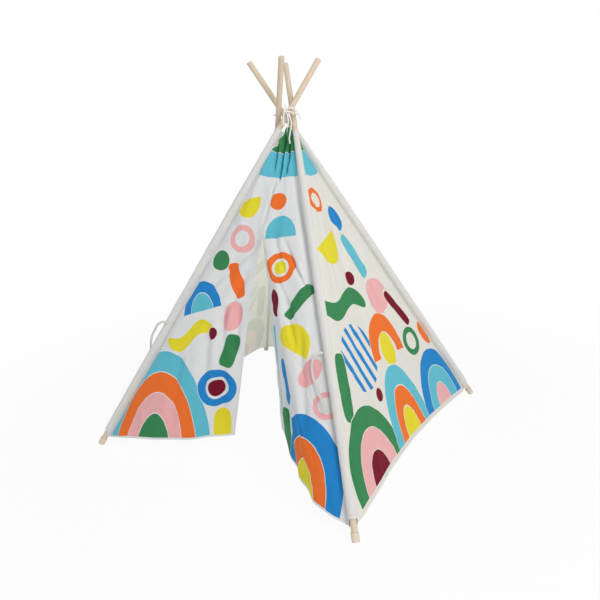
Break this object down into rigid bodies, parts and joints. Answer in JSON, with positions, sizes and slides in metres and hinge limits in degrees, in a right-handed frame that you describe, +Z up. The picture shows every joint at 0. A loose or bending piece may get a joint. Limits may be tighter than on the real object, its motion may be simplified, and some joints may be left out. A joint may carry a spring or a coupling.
{
  "type": "play tent",
  "caption": "Child's pyramid tent of wooden poles crossed and tied at the top, with sleeved printed canvas walls and a slit door.",
  "frame": {"origin": "on the floor under the middle of the crossing", "axes": "+Z up, the door faces -Y, +X to the right as seen from the door"},
  "size_m": [1.2206, 1.2206, 1.5257],
  "materials": {
    "pine": "satin",
    "steel": "satin",
    "rubber": "matte",
    "canvas": "matte",
    "cord": "matte"
  },
  "bodies": {
    "crossing": {"cord_through_poles": "cord", "cord_bow_loop": "cord", "cord_end_short": "cord", "cord_end_long": "cord"},
    "leg_front_left": {"pole_lower_fl": "pine", "pole_middle_fl": "pine", "pole_upper_fl": "pine", "ferrule_low_fl": "steel", "ferrule_high_fl": "steel", "foot_cap_fl": "rubber", "sleeve_fl": "canvas", "canvas_left_fl": "canvas", "canvas_front_fl": "canvas", "tie_left": "canvas"},
    "leg_front_right": {"pole_lower_fr": "pine", "pole_middle_fr": "pine", "pole_upper_fr": "pine", "ferrule_low_fr": "steel", "ferrule_high_fr": "steel", "foot_cap_fr": "rubber", "sleeve_fr": "canvas", "canvas_front_fr": "canvas", "canvas_right_fr": "canvas", "tie_right": "canvas"},
    "leg_back_right": {"pole_lower_br": "pine", "pole_middle_br": "pine", "pole_upper_br": "pine", "ferrule_low_br": "steel", "ferrule_high_br": "steel", "foot_cap_br": "rubber", "sleeve_br": "canvas", "canvas_right_br": "canvas", "canvas_back_br": "canvas"},
    "leg_back_left": {"pole_lower_bl": "pine", "pole_middle_bl": "pine", "pole_upper_bl": "pine", "ferrule_low_bl": "steel", "ferrule_high_bl": "steel", "foot_cap_bl": "rubber", "sleeve_bl": "canvas", "canvas_back_bl": "canvas", "canvas_left_bl": "canvas"},
    "flap_left": {"door_flap_left": "canvas"},
    "flap_right": {"door_flap_right": "canvas"}
  },
  "joints": [
    {"name": "tent_fold", "type": "hinge", "parent": "crossing", "child": "leg_front_left", "pos_m": [0.0209, -0.0209, 1.316], "axis": [-0.7071, 0.7071, 0], "range_deg": [-27, 0], "deforming": ["sleeve_fl", "canvas_left_fl", "canvas_front_fl", "door_flap_left"]},
    {"name": "fold_front_right", "type": "hinge", "parent": "crossing", "child": "leg_front_right", "pos_m": [0.0209, 0.0209, 1.316], "axis": [-0.7071, -0.7071, 0], "range_deg": [-27, 0], "deforming": ["sleeve_fr", "canvas_front_fr", "canvas_right_fr", "door_flap_right"]},
    {"name": "fold_back_right", "type": "hinge", "parent": "crossing", "child": "leg_back_right", "pos_m": [-0.0209, 0.0209, 1.316], "axis": [0.7071, -0.7071, 0], "range_deg": [-27, 0], "deforming": ["sleeve_br", "canvas_right_br", "canvas_back_br"]},
    {"name": "fold_back_left", "type": "hinge", "parent": "crossing", "child": "leg_back_left", "pos_m": [-0.0209, -0.0209, 1.316], "axis": [0.7071, 0.7071, 0], "range_deg": [-27, 0], "deforming": ["sleeve_bl", "canvas_back_bl", "canvas_left_bl"]},
    {"name": "door_left_swing", "type": "hinge", "parent": "leg_front_left", "child": "flap_left", "pos_m": [-0.48298, -0.58321, 0.05411], "axis": [-0.4822, -0.3641, -0.7968], "range_deg": [-40, 150]},
    {"name": "door_right_swing", "type": "hinge", "parent": "leg_front_right", "child": "flap_right", "pos_m": [0.48456, -0.5814, 0.05459], "axis": [-0.4629, 0.3671, 0.8068], "range_deg": [-40, 165]}
  ],
  "couplings": [
    {"joint": "fold_front_right", "follows": "tent_fold", "ratio": 1},
    {"joint": "fold_back_right", "follows": "tent_fold", "ratio": 1},
    {"joint": "fold_back_left", "follows": "tent_fold", "ratio": 1}
  ]
}
